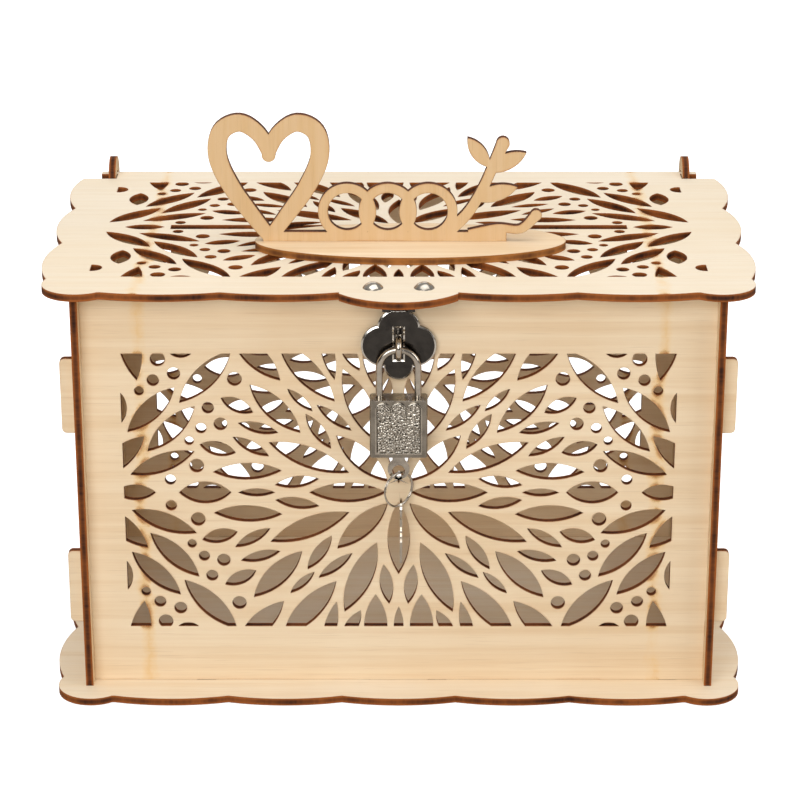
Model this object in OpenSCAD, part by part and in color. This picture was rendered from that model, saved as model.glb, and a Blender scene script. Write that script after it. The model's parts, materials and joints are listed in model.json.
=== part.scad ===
// Wedding card box: five laser-cut plywood panels on a scalloped base plate, a pierced lid that
// turns in two lugs, a standing ornament on the lid, and a hasp locked by a small padlock.
// Frame: origin at the middle of the base plate's underside, +X right, +Y back, +Z up, mm.

/* [Box] */
// distance between the side panels' outer faces
body_w = 270; // [210:2:330]
// how far lid and base plate reach beyond the side panels
plate_over = 15; // [12:0.5:20]
// depth of the side panels
body_d = 170; // [130:2:210]
// height of the panels between base plate and lid
body_h = 177; // [140:1:220]
// plywood thickness
ply_t = 3.2; // [2.8:0.1:4]
// how far the front and back panels stand in from the side panels' edges
panel_inset = 6; // [4:0.5:9]
// how far the through tabs stand out of the side panels
tab_out = 6; // [0:0.5:8]
// height of a side through tab
tab_h = 33; // [20:1:40]
// length of a bottom tab
foot_w = 25; // [15:1:30]
// length of the base slot a bottom tab drops into
foot_slot = 33; // [30:1:38]
// clearance between a tab and its slot, each side
tab_gap = 0.1; // [0.05:0.05:0.2]

/* [Piercing] */
// plain rim between the piercing and the side panels, front and back
rim_w = 15.8; // [10:0.2:25]
// plain rim above and below the piercing of the upright panels
rim_h = 26.2; // [20:0.2:35]
// plain rim beside the piercing of a side panel
side_rim = 23; // [18:0.5:35]
// plain rim beside the lid's piercing, measured from the side panels' outer faces
lid_rim_w = 6; // [3:0.5:20]
// plain rim in front of and behind the lid's piercing, measured from the side panels' ends
lid_rim_d = 15; // [12:0.5:30]
// distance from the card slot's end to the side panel's outer face
slot_end = 35; // [25:1:60]
// width of the card slot
slot_w = 6; // [5:0.5:9]

/* [Scallops] */
// how far the outer front scallops tuck in behind the corner scallops
corner_lap = 1.75; // [1:0.25:4]
// width of one scallop along a side
lobe_d = 52; // [40:0.5:54]
// depth of a front scallop
lobe_front = 3; // [2:0.5:5]
// depth of a side scallop
lobe_side = 5; // [3:0.5:7]
// depth of the lid's middle scallop over the hasp
lobe_mid = 11.5; // [8:0.5:14]
// radius of a corner scallop
corner_r = 15; // [10:0.5:20]
// how far the corner scallops stand back from the side scallops
corner_in = 3; // [0:0.5:4]
// how far the base plate's scallops reach in front of the side panels
base_over = 12.4; // [8:0.2:18]
// how far the lid's front scallops reach in front of the side panels
lid_over = 6.5; // [6:0.5:12]

/* [Lid hinge] */
// radius of the round lug on each side panel
lug_r = 9.4; // [8:0.2:12]
// width of the lid's hinge tab
pivot_w = 4; // [3:0.2:5]
// how far the hinge tab stands outside the lug
pivot_out = 4; // [2:0.5:6]
// gap between a lug and the lid's edge around it
lug_gap = 0.4; // [0.3:0.1:0.8]

/* [Ornament] */
// length of the oval foot
oval_l = 133; // [100:1:150]
// depth of the oval foot
oval_d = 50; // [36:1:60]
// half width of the ornament's line
line_r = 3.2; // [2.4:0.1:4]

/* [Hasp] */
// thickness of the cloud-shaped leaf
leaf_t = 1.5; // [1.2:0.1:2]
// staple wire radius
staple_r = 1.25; // [1:0.05:1.5]
// hinge pin radius
pin_r = 1; // [0.8:0.05:1.2]
// lid bolt shank radius
bolt_r = 1.5; // [1.25:0.05:1.6]
// spacing of the two lid bolts
bolt_gap = 21; // [18:0.5:26]

/* [Padlock] */
// width of the padlock's case
lock_w = 24; // [23:0.5:28]
// height of the padlock's case
lock_h = 25.3; // [24:0.1:30]
// depth of the padlock's case between its face plates
lock_d = 9; // [8.5:0.1:9.4]
// shackle wire radius
shackle_r = 1.5; // [1.2:0.1:1.6]
// how far the case drops when it is unlocked
shackle_travel = 16; // [15.5:0.5:18]
// key ring radius to the middle of the wire
ring_r = 7.4; // [6.5:0.1:8]
// key ring wire radius
ring_wire = 0.6; // [0.4:0.05:0.7]

/* [Hidden] */
$fn = 48;
eps = 0.01;
body_x = body_w / 2;
body_y = body_d / 2;
in_x = body_x - ply_t;
plate_w = body_w + 2 * plate_over;
win_w = 2 * (in_x - rim_w);
win_h = body_h - 2 * rim_h;
side_win_w = body_d - 2 * side_rim;
lid_win_w = body_w - 2 * lid_rim_w;
lid_win_d = body_d - 2 * lid_rim_d;
slot_l = body_w - 2 * slot_end;
panel_y = body_y - panel_inset;         // outer face of the front and back panels
top_z = ply_t + body_h;                 // underside of the lid
lid_z = top_z + ply_t;                  // upper face of the lid
win_z = ply_t + body_h / 2 - 0.6;       // middle of the upright panels' piercing
plate_x = plate_w / 2;
front_lobe = (plate_x - 2 * corner_r + corner_lap) / 2.5;  // five scallops between the corners
base_y = body_y + base_over;
lid_y = body_y + lid_over;              // front of the lid's ordinary scallops
hinge_y = body_y + 3.2;                 // the lid turns about this line
hinge_z = top_z + ply_t / 2;
notch_y = hinge_y - lug_r - lug_gap;    // rear edge of the lid's wings
lid_rear = hinge_y + pivot_w / 2;
lid_win_y = 2;                          // middle of the lid's piercing, and of the card slot
pivot_hole = sqrt(pow(pivot_w / 2, 2) + pow(ply_t / 2, 2)) + 0.3;
foot_x = 100 * win_w / 232;             // side bottom tabs of the front and back panels
foot_y = 45 * body_d / 170;             // bottom tabs of the side panels
tab_z = 43.5 * body_h / 177;            // through tabs, above and below the piercing's middle
oval_y = -27.6;
oval_z = lid_z + ply_t;
front = -panel_y;                       // outer face of the front panel
staple_t = 1;
leaf_back = front - staple_t - 0.1;     // rear face of the hasp leaf
leaf_front = leaf_back - leaf_t;
staple_z = lid_z - 24.8;                // middle of the staple
staple_h = 4.2;                         // half the staple's height, to the wire's middle
staple_y = front - 7;                   // where the staple's round end starts
pin_z = lid_z - 8.2;
pin_y = leaf_back - leaf_t / 2 - 1.0;
fork_x = 5.3;                           // forks stand between the two nuts
bolt_y = front - 3.5;
lock_y = front - 6.1;                   // middle plane of padlock, shackle and keys
bend_z = staple_z - staple_h + staple_r + shackle_r + 0.15; // top of the shackle's middle line
case_top = bend_z - 20.8;
case_bot = case_top - lock_h;
plug_r = 3.5;
shackle_x = lock_w / 2 - 4;             // half the distance between the shackle's legs
plug_top = case_bot + 12.8;
latch_z = plug_top + 0.6;
latch_t = 2.4;
cam_r = 1 / sin(22.5);                  // the cam pin's radius from the plug's axis
key_t = 1;
key_hole_z = case_bot - 7.7;
key_hole_r = 2.7;
ring_top = key_hole_z - 1.0;            // middle of the wire where the ring hangs
ring_yaw = 40;
ring_low = ring_top - 2 * ring_r;
spare_z = ring_low - 0.6;               // centre of the spare key's hole
wood = [0.93, 0.82, 0.64];
steel = [0.62, 0.62, 0.65];
dark = [0.36, 0.36, 0.4];

// ---- piercing pattern ----------------------------------------------------------------------
// Leaves are placed by the share of the field's half width (u) and half height (v), so the
// pattern follows the panel. All three fields are cut from one pattern, mirrored both ways.
pat_u = win_w / 2;

// a pointed leaf between two tips, hw wide each side
module leaf(a, b, hw) {
  d = b - a;
  len = norm(d);
  r = (len * len / 4 + hw * hw) / (2 * hw);
  translate((a + b) / 2)
    rotate(atan2(d[1], d[0]))
      intersection() {
        translate([0, r - hw])
          circle(r);
        translate([0, hw - r])
          circle(r);
      }
}

// [tip, tip, half width in mm]
quarter_leaves = [
  [[0.04, 0.08], [0.225, 0.415], 4.6],   // fan around the middle
  [[0.18, 0.145], [0.47, 0.365], 4.7],
  [[0.29, 0.10], [0.45, 0.055], 2.6],
  [[0.08, 0.37], [0.20, 0.89], 5.0],
  [[0.055, 0.535], [0.035, 0.83], 2.8],
  [[0.17, 0.45], [0.295, 0.635], 2.3],
  [[0.245, 0.32], [0.335, 0.57], 2.7],
  [[0.31, 0.59], [0.40, 0.75], 1.9],
  [[0.355, 0.435], [0.535, 0.78], 4.6],
  [[0.085, 0.76], [0.085, 1.24], 5.0],   // along the upper edge
  [[0.14, 0.88], [0.21, 1.12], 2.8],
  [[0.23, 0.815], [0.275, 1.19], 2.7],
  [[0.23, 0.66], [0.43, 1.08], 5.0],
  [[0.425, 0.81], [0.60, 1.15], 4.6],
  [[0.425, 0.16], [0.675, 0.15], 3.8],   // fan around the side flower
  [[0.47, 0.265], [0.60, 0.405], 2.4],
  [[0.435, 0.435], [0.58, 0.505], 2.4],
  [[0.525, 0.58], [0.64, 0.685], 3.0],
  [[0.59, 0.29], [0.72, 0.35], 3.2],
  [[0.74, 0.30], [0.975, 0.13], 4.1],
  [[0.92, 0.41], [1.10, 0.10], 4.5],
  [[0.735, 0.625], [0.91, 0.30], 4.3],
  [[0.805, 0.76], [0.98, 0.44], 4.3],
  [[0.79, 0.65], [0.60, 1.02], 4.7],
  [[1.016, 0.48], [1.016, 0.75], 4.3],   // outer edge
  [[0.94, 0.81], [0.98, 1.30], 4.6],
  [[0.73, 1.03], [0.825, 1.015], 3.2]
];

// [centre, radius in mm]
quarter_dots = [
  [[0.83, 0.095], 2.3], [[0.733, 0.196], 3.0], [[0.758, 0.378], 1.9],
  [[0.714, 0.469], 2.3], [[0.643, 0.499], 2.8], [[0.687, 0.615], 2.5],
  [[0.589, 0.821], 3.0], [[0.933, 0.736], 2.0], [[0.882, 0.812], 2.5],
  [[0.807, 0.86], 2.7], [[0.863, 0.962], 3.1]
];

module quarter(pv) {
  for (l = quarter_leaves)
    leaf([l[0][0] * pat_u, l[0][1] * pv], [l[1][0] * pat_u, l[1][1] * pv], l[2]);
  for (d = quarter_dots)
    translate([d[0][0] * pat_u, d[0][1] * pv])
      circle(d[1]);
}

// leaves that lie on the two lines of symmetry
module cross_leaves(pv, centre_row) {
  for (s = [-1, 1]) {
    leaf([0, s * 0.07 * pv], [0, s * 0.605 * pv], 4.7);
    leaf([0, s * 0.85 * pv], [0, s * 1.15 * pv], 2.1);
    if (centre_row) {
      leaf([s * 0.045 * pat_u, 0], [s * 0.325 * pat_u, 0], 4.5);
      leaf([s * 0.45 * pat_u, 0], [s * 0.585 * pat_u, 0], 1.8);
      leaf([s * 0.61 * pat_u, 0], [s * 0.80 * pat_u, 0], 5.0);
    }
    leaf([s * 0.885 * pat_u, 0], [s * 1.035 * pat_u, 0], 3.6);
  }
}

// the openings of one pierced field, cut off square at its edge
module piercing(w, h, centre_row = true, extra = false) {
  intersection() {
    square([w, h], center = true);
    union() {
      for (mx = [0, 1], my = [0, 1])
        mirror([mx, 0])
          mirror([0, my]) {
            quarter(h / 2);
            if (extra)
              translate([w / 2 - 0.5, 0.83 * h / 2])
                circle(4.3);
          }
      cross_leaves(h / 2, centre_row);
    }
  }
}

// ---- plate outlines ------------------------------------------------------------------------
// one scallop on the -Y side of the origin: chord w, depth s, backed by a strip that joins it on
module scallop(w, s) {
  r = (w * w / 4 + s * s) / (2 * s);
  intersection() {
    translate([0, r - s])
      circle(r);
    translate([-w / 2, -s - 1])
      square([w, s + 9]);
  }
}

module base_outline() {
  cusp_x = plate_x - lobe_side;
  cusp_y = base_y - lobe_front;
  difference() {
    square([2 * cusp_x, 2 * cusp_y], center = true);
    for (sx = [-1, 1], sy = [-1, 1])
      translate([sx * cusp_x, sy * cusp_y])
        square(2 * corner_r - 12, center = true);
  }
  for (sx = [-1, 1], sy = [-1, 1])
    translate([sx * (plate_x - corner_in - corner_r), sy * (base_y - corner_r)])
      circle(corner_r);
  for (i = [-2:2], my = [0, 1])
    mirror([0, my])
      translate([i * front_lobe, -cusp_y])
        scallop(front_lobe, lobe_front);
  for (i = [-1:1], mx = [0, 1])
    mirror([mx, 0])
      translate([-cusp_x, i * lobe_d * body_d / 170])
        rotate(-90)
          scallop(lobe_d * body_d / 170, lobe_side);
}

module lid_outline() {
  cusp_x = plate_x - lobe_side;
  cusp_y = lid_y - lobe_front;
  lw = front_lobe;
  ld = lobe_d * body_d / 170;
  difference() {
    translate([-cusp_x, -cusp_y])
      square([2 * cusp_x, cusp_y + notch_y]);
    for (sx = [-1, 1])
      translate([sx * cusp_x, -cusp_y])
        square(2 * corner_r - 12, center = true);
  }
  for (sx = [-1, 1])
    translate([sx * (plate_x - corner_in - corner_r), corner_r - lid_y])
      circle(corner_r);
  for (i = [-2, -1, 1, 2])
    translate([i * lw, -cusp_y])
      scallop(lw, lobe_front);
  translate([0, -cusp_y - 1.5])
    scallop(lw, lobe_mid);
  intersection() {
    for (i = [0:2], mx = [0, 1])
      mirror([mx, 0])
        translate([-cusp_x, notch_y + 4 - (i + 0.5) * ld])
          rotate(-90)
            scallop(ld, lobe_side);
    translate([-plate_w, -plate_w])
      square([2 * plate_w, plate_w + notch_y]);
  }
  translate([-in_x + lug_gap, notch_y - 5])
    square([2 * (in_x - lug_gap), lid_rear - notch_y + 5]);
  translate([-body_x - pivot_out, hinge_y - pivot_w / 2])
    square([2 * (body_x + pivot_out), pivot_w]);
}

// ---- plywood parts -------------------------------------------------------------------------
module foot_slots() {
  for (s = [-1, 1]) {
    for (x = [-1, 0, 1])
      translate([x * foot_x - foot_w / 2 - tab_gap, s * (panel_y - ply_t / 2) - ply_t / 2 - tab_gap])
        square([foot_slot + 2 * tab_gap, ply_t + 2 * tab_gap]);
    for (y = [-1, 1])
      translate([s * (body_x - ply_t / 2), y * foot_y])
        square([ply_t + 2 * tab_gap, foot_w + 2 * tab_gap], center = true);
  }
}

module base_plate() {
  color(wood)
    linear_extrude(ply_t)
      difference() {
        base_outline();
        foot_slots();
      }
}

// corners of a rectangle with rounded corners
function round_rect(w, h, r) =
  [for (c = [0:3], k = [0:4])
    let (a = 90 * c + 22.5 * k, sx = c == 0 || c == 3 ? 1 : -1, sy = c < 2 ? 1 : -1)
    [sx * (w / 2 - r) + r * cos(a), sy * (h / 2 - r) + r * sin(a)]];

// front and back panel, drawn in the XZ plane with its outer face at y = 0
module upright_panel(holes) {
  rotate([90, 0, 0])
    translate([0, 0, -ply_t])
      linear_extrude(ply_t)
        difference() {
          union() {
            translate([-in_x, ply_t])
              square([2 * in_x, body_h]);
            for (s = [-1, 1])
              translate([0, win_z + s * tab_z])
                polygon(round_rect(2 * (body_x + tab_out), tab_h, 2));
            for (x = [-1, 0, 1])
              translate([x * foot_x - foot_w / 2, 0])
                square([foot_w, ply_t + 1]);
          }
          translate([0, win_z])
            piercing(win_w, win_h);
          if (holes)
            rivet_holes();
        }
}

module rivet_holes() {
  for (x = [-3.8, 3.8], z = [staple_z - 2.1, staple_z + 9.3])
    translate([x, z])
      circle(1.25);
}

module front_panel() {
  color(wood)
    translate([0, -panel_y, 0])
      upright_panel(true);
}

module back_panel() {
  color(wood)
    translate([0, panel_y - ply_t, 0])
      upright_panel(false);
}

// side panel drawn in the YZ plane, s = -1 left, 1 right
module side_panel(s) {
  color(wood)
    translate([s > 0 ? in_x : -body_x, 0, 0])
      rotate([90, 0, 90])
        linear_extrude(ply_t)
          difference() {
            union() {
              polygon([[-body_y, ply_t], [body_y, ply_t], [body_y, top_z - 34],
                       [hinge_y + lug_r - 0.6, hinge_z], [body_y - 5.6, hinge_z],
                       [body_y - 5.6, top_z], [-body_y, top_z]]);
              for (y = [-1, 1])
                translate([y * foot_y - foot_w / 2, 0])
                  square([foot_w, ply_t + 1]);
              translate([hinge_y, hinge_z])
                circle(lug_r);
            }
            translate([0, win_z])
              piercing(side_win_w, win_h);
            translate([hinge_y, hinge_z])
              circle(pivot_hole);
            for (f = [-1, 1], t = [-1, 1])
              translate([f * (panel_y - ply_t / 2), win_z + t * tab_z])
                square([ply_t + 2 * tab_gap, tab_h + 2 * tab_gap], center = true);
          }
}

module left_side_panel() {
  side_panel(-1);
}

module right_side_panel() {
  side_panel(1);
}

module lid_panel() {
  color(wood)
    translate([0, 0, top_z])
      linear_extrude(ply_t)
        difference() {
          lid_outline();
          translate([0, lid_win_y])
            piercing(lid_win_w, lid_win_d, false, true);
          translate([0, lid_win_y])
            square([slot_l, slot_w], center = true);
          for (s = [-1, 1])
            translate([s * bolt_gap / 2, bolt_y])
              circle(bolt_r + 0.1);
        }
}

// ---- ornament ------------------------------------------------------------------------------
function spline(p, i, t) =
  let (a = p[max(i - 1, 0)], b = p[i], c = p[i + 1], d = p[min(i + 2, len(p) - 1)])
  0.5 * (2 * b + (c - a) * t + (2 * a - 5 * b + 4 * c - d) * t * t
         + (3 * b - a - 3 * c + d) * t * t * t);

// a line of changing width through the points p: thin at both ends, full in the middle
module brush(p, w0, w1) {
  n = 6;
  last = len(p) - 1;
  pts = [for (i = [0:last - 1], k = [0:n - 1]) spline(p, i, k / n)];
  all = concat(pts, [p[last]]);
  m = len(all) - 1;
  dirs = [for (i = [0:m]) all[min(i + 1, m)] - all[max(i - 1, 0)]];
  nrm = [for (d = dirs) [-d[1], d[0]] / norm(d)];
  wid = [for (i = [0:m]) w0 + (w1 - w0) * sin(180 * i / m)];
  polygon(concat([for (i = [0:m]) all[i] + nrm[i] * wid[i]],
                 [for (i = [m:-1:0]) all[i] - nrm[i] * wid[i]]));
}

module slab() {
  linear_extrude(ply_t)
    children();
}

// a heart, three linked rings and a leafy sprig on one ground line, cut from one sheet
module flourish() {
  slab()
    translate([-58, 0])
      square([104, 4.2]);
  for (m = [0, 1])
    translate([-55, 0])
      mirror([m, 0])
        slab()
          brush([[-0.6, 38], [4, 47], [12, 52], [20, 48], [21.5, 37], [16, 24], [7, 11], [0.5, 2.4]],
                line_r - 0.3, line_r + 0.8);
  for (e = [[-55, 38, line_r - 0.25], [44, 43, line_r - 0.35], [58.5, 11.5, line_r - 0.75]])
    slab()
      translate([e[0], e[1]])
        circle(e[2]);
  for (i = [0:2])
    translate([-22 + 17.3 * i, 13.2])
      slab()
        difference() {
          circle(12.4);
          circle(8.2);
        }
  slab()
    brush([[19, 2.6], [29, 12], [36, 24], [41, 36], [44, 43]], line_r - 0.4, line_r - 1);
  slab()
    leaf([36.4, 30.8], [54, 39], 3.6);
  slab()
    leaf([31, 18.4], [50.5, 24], 3.6);
  slab()
    leaf([38.6, 32.6], [29, 45.5], 3.2);
  slab()
    brush([[30, 2.8], [42, 5.8], [52, 5.4], [58.5, 11.5]], line_r - 0.8, line_r - 1.4);
  for (x = [-34, 34])
    slab()
      translate([x - 8, -ply_t])
        square([16, ply_t + 1]);
}

module sign_flourish() {
  color(wood)
    translate([0, oval_y + ply_t / 2, oval_z])
      rotate([90, 0, 0])
        flourish();
}

module sign_base() {
  color(wood)
    translate([5, oval_y, lid_z])
      linear_extrude(ply_t)
        difference() {
          polygon([for (a = [0:3.75:359]) [oval_l / 2 * cos(a), oval_d / 2 * sin(a)]]);
          for (x = [-34, 34])
            translate([x - 5, 0])
              square([16 + 2 * tab_gap, ply_t + 2 * tab_gap], center = true);
        }
}

// ---- hasp ----------------------------------------------------------------------------------
module rod_x(r, l) {
  rotate([0, 90, 0])
    cylinder(r = r, h = l, center = true);
}

module staple_plate() {
  color(steel)
    translate([0, front, 0])
      rotate([90, 0, 0])
        linear_extrude(staple_t)
          difference() {
            translate([-6, staple_z - 7])
              square([12, 19]);
            rivet_holes();
            for (s = [-1, 1])
              translate([0, staple_z + s * staple_h])
                circle(staple_r + 0.05);
          }
}

module staple_loop() {
  color(steel) {
    for (s = [-1, 1])
      translate([0, staple_y, staple_z + s * staple_h])
        rotate([-90, 0, 0])
          cylinder(r = staple_r, h = front - staple_y - 0.05);
    translate([0, staple_y, staple_z])
      rotate([90, 0, 90])
        rotate([0, 0, 90])
          rotate_extrude(angle = 180)
            translate([staple_h, 0])
              circle(staple_r);
  }
}

module staple_rivets() {
  color(steel)
    for (x = [-3.8, 3.8], z = [staple_z - 2.1, staple_z + 9.3])
      translate([x, front - staple_t + 0.05, z])
        rotate([-90, 0, 0]) {
          cylinder(r = 1.2, h = staple_t + ply_t);
          translate([0, 0, staple_t + ply_t - 0.05])
            cylinder(r = 2.3, h = 0.9);
        }
}

module cloud() {
  translate([0, staple_z + 6.35])
    circle(8.9);
  for (s = [-1, 1])
    translate([s * 6.7, staple_z - 0.9])
      circle(8.9);
  translate([0, staple_z - 9.5])
    circle(6.2);
}

module hasp_leaf() {
  color(dark)
    difference() {
      union() {
        translate([0, leaf_back, 0])
          rotate([90, 0, 0])
            linear_extrude(leaf_t)
              union() {
                cloud();
                translate([-3.5, staple_z + 6])
                  square([7, pin_z - staple_z - 6.8]);
              }
        translate([0, pin_y, pin_z])
          rod_x(pin_r + 0.9, 7);
      }
      translate([0, pin_y, pin_z])
        rod_x(pin_r + 0.05, 30);
      translate([-1.9, leaf_front - 1, staple_z - 7])
        cube([3.8, leaf_t + 2, 14]);
    }
}

module hasp_pin() {
  color(steel)
    translate([0, pin_y, pin_z])
      rod_x(pin_r, 14);
}

// upper leaf: a flange bolted under the lid, with two forks that sit over the pin
module hasp_bracket() {
  color(dark)
    difference() {
      union() {
        translate([-17, bolt_y - 5, top_z - 1])
          cube([34, 8.2, 1]);
        for (s = [-1, 1])
          translate([s * fork_x - 1.5, pin_y - 2.3, pin_z - 1.8])
            cube([3, 4.6, top_z - pin_z + 0.8]);
      }
      for (s = [-1, 1])
        translate([s * fork_x, pin_y, pin_z]) {
          rod_x(pin_r + 0.3, 4);
          translate([-2, -pin_r - 0.3, -4])
            cube([4, 2 * pin_r + 0.6, 4]);
        }
      for (s = [-1, 1])
        translate([s * bolt_gap / 2, bolt_y, top_z - 2])
          cylinder(r = bolt_r + 0.1, h = 3);
    }
}

module lid_bolts() {
  color(steel)
    for (s = [-1, 1])
      translate([s * bolt_gap / 2, bolt_y, 0]) {
        translate([0, 0, top_z - 3.4])
          cylinder(r = bolt_r, h = ply_t + 3.5);
        intersection() {
          translate([0, 0, lid_z - 2.7])
            sphere(r = 5.1);
          translate([0, 0, lid_z])
            cylinder(r = 6, h = 4);
        }
      }
}

module lid_nuts() {
  color(steel)
    for (s = [-1, 1])
      translate([s * bolt_gap / 2, bolt_y, top_z - 3.3])
        difference() {
          rotate(30)
            cylinder(r = 3.1, h = 2.3, $fn = 6);
          translate([0, 0, -1])
            cylinder(r = bolt_r + 0.05, h = 5);
        }
}

// ---- padlock -------------------------------------------------------------------------------
module padlock_shackle() {
  bend = bend_z - shackle_x;
  color(steel)
    difference() {
      union() {
        translate([0, lock_y, bend])
          rotate([90, 0, 0])
            rotate_extrude(angle = 180)
              translate([shackle_x, 0])
                circle(shackle_r);
        translate([-shackle_x, lock_y, case_bot + 1.8])
          cylinder(r = shackle_r, h = bend - case_bot - 1.8);
        translate([shackle_x, lock_y, latch_z - 3.1])
          cylinder(r = shackle_r, h = bend - latch_z + 3.1);
      }
      translate([shackle_x - 3, lock_y - 2, latch_z - 0.3])
        cube([3.5, 4, latch_t + 0.6]);
    }
}

module case_profile() {
  square([lock_w - 1.2, lock_d], center = true);
  for (s = [-1, 1], i = [-1:1])
    translate([s * (lock_w / 2 - 1.1), i * 2.9])
      circle(1.1);
}

module padlock_case() {
  color(steel)
    translate([0, lock_y, 0])
      difference() {
        translate([0, 0, case_bot])
          linear_extrude(lock_h)
            case_profile();
        for (s = [-1, 1])
          translate([s * shackle_x, 0, case_bot + (s < 0 ? 1.2 : 8)])
            cylinder(r = shackle_r + 0.1, h = lock_h);
        translate([0, 0, case_bot - 1])
          cylinder(r = plug_r + 0.1, h = plug_top - case_bot + 1.2);
        translate([0, 0, case_bot - 1])
          cylinder(r = 4.2, h = 2.05);
        translate([-5.4, -3.7, plug_top])
          cube([11.3, 7.4, latch_t + 1]);
        translate([0, -1.4, plug_top])
          cube([shackle_x, 2.8, latch_t + 1]);
      }
}

// raised face plate with a scalloped upper edge, s = -1 front, 1 back
module face_plate(s) {
  w = lock_w - 4.4;
  color(steel)
    translate([0, lock_y + s * lock_d / 2 + (s > 0 ? 0.8 : 0), case_bot + 1.5])
      rotate([90, 0, 0])
        linear_extrude(0.8)
          union() {
            translate([-w / 2, 0])
              square([w, lock_h - 5.5]);
            for (i = [-1:1])
              translate([i * w / 3, lock_h - 5.6])
                circle(w / 6);
          }
}

module padlock_front_face() {
  face_plate(-1);
}

module padlock_back_face() {
  face_plate(1);
}

module padlock_bottom_cover() {
  color(steel)
    translate([0, lock_y, case_bot])
      difference() {
        cylinder(r = 4.15, h = 1);
        translate([0, 0, -1])
          cylinder(r = 2.4, h = 3);
      }
}

module padlock_plug() {
  color([0.8, 0.66, 0.36])
    translate([0, lock_y, 0]) {
      difference() {
        translate([0, 0, case_bot + 1.1])
          cylinder(r = plug_r, h = plug_top - case_bot - 1.1);
        translate([-2.1, -0.6, case_bot])
          cube([4.2, 1.2, 11.6]);
      }
      translate([-cam_r * sin(22.5), cam_r * cos(22.5), plug_top - 0.5])
        cylinder(r = 0.6, h = latch_t + 1);
    }
}

module padlock_latch() {
  color([0.8, 0.66, 0.36])
    translate([0, lock_y, latch_z])
      difference() {
        union() {
          translate([-5, -3.5, 0])
            cube([8.8, 7, latch_t]);
          translate([3, -1.3, 0])
            cube([shackle_x - 4.8, 2.6, latch_t]);
        }
        translate([-1.72, 1.6, -1])
          cube([1.44, 3, latch_t + 2]);
      }
}

// a flat key: bow, shoulder and blade, drawn in the XZ plane, hole centre at the origin
module key_shape() {
  difference() {
    union() {
      translate([0, 0.9])
        circle(4.6);
      translate([-2.6, 3])
        square([5.2, 4.5]);
      translate([-2, 7])
        square([4, 11.4]);
    }
    circle(key_hole_r);
    for (i = [0:2])
      translate([2.4, 9.4 + i * 2.6])
        circle(r = 1.3, $fn = 4);
  }
}

module padlock_key() {
  color(steel)
    translate([0, lock_y + key_t / 2, key_hole_z])
      rotate([90, 0, 0])
        linear_extrude(key_t)
          key_shape();
}

module key_ring() {
  color(steel)
    translate([0, lock_y, ring_top - ring_r])
      rotate([0, 0, ring_yaw])
        rotate([90, 0, 0])
          rotate_extrude()
            translate([ring_r, 0])
              circle(ring_wire);
}

module spare_key() {
  color(steel)
    translate([key_t / 2, lock_y, spare_z])
      rotate([0, 0, 90])
        rotate([90, 180, 0])
          linear_extrude(key_t)
            union() {
              key_shape();
              translate([-2, 17])
                square([4, 8]);
            }
}

base_plate();
front_panel();
back_panel();
left_side_panel();
right_side_panel();
lid_panel();
sign_base();
sign_flourish();
staple_plate();
staple_loop();
staple_rivets();
hasp_leaf();
hasp_pin();
hasp_bracket();
lid_bolts();
lid_nuts();
padlock_shackle();
padlock_case();
padlock_front_face();
padlock_back_face();
padlock_bottom_cover();
padlock_plug();
padlock_latch();
padlock_key();
key_ring();
spare_key();
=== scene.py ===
# %% [markdown]
# # A laser-cut wedding card box
# This file dresses a finished CAD part. The part arrives with every piece at its real size
# and place, so the work here is finish: wood, burnt edges, polished and worn metal.
# Each step says what the thing is on the real box, how it could be made, and why this way.

# %% Start from an empty scene and load the part
import json
import math

import bmesh
import bpy
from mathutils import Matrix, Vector, noise

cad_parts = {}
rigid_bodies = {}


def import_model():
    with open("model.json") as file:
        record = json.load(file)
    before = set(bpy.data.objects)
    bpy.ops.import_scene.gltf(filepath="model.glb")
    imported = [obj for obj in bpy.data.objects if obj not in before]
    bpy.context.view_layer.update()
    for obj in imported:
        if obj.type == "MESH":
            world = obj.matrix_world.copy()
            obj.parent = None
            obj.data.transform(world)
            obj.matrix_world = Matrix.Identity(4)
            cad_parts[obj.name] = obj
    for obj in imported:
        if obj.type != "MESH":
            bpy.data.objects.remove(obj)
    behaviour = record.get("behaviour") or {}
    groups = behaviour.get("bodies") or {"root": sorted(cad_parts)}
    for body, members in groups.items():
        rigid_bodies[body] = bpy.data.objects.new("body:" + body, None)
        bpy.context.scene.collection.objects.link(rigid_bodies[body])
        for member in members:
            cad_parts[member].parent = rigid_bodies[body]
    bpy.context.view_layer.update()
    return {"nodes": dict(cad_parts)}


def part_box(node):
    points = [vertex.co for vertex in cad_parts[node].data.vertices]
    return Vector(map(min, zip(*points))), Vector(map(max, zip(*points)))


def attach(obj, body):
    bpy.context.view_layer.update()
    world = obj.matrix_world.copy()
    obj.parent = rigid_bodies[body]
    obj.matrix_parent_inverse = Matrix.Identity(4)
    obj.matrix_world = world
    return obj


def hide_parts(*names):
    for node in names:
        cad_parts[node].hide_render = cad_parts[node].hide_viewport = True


for leftover in list(bpy.data.objects):
    bpy.data.objects.remove(leftover, do_unlink=True)
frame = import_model()
nodes = frame["nodes"]
SHEET_THICKNESS = 0.0032

# %% [markdown]
# ## Camera
# The box is seen from in front and a little above, from just over a metre away, with a long
# lens, so its sides lean in only slightly. A lens is set by its focal length against a
# 36 mm wide sensor. The camera comes first, because every finish is judged through it. Its
# hair's breadth of turn evens out the lean that a hand-built box has.


# %% Place the camera
def aim_camera(place, tilt_deg, turn_deg, lens_mm):
    data = bpy.data.cameras.new("studio_camera")
    data.lens = lens_mm
    data.sensor_width = 36
    data.clip_start = 0.01
    camera = bpy.data.objects.new("studio_camera", data)
    camera.location = place
    camera.rotation_euler = (math.radians(90 - tilt_deg), 0, math.radians(turn_deg))
    bpy.context.scene.collection.objects.link(camera)
    bpy.context.scene.camera = camera
    return camera


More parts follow.
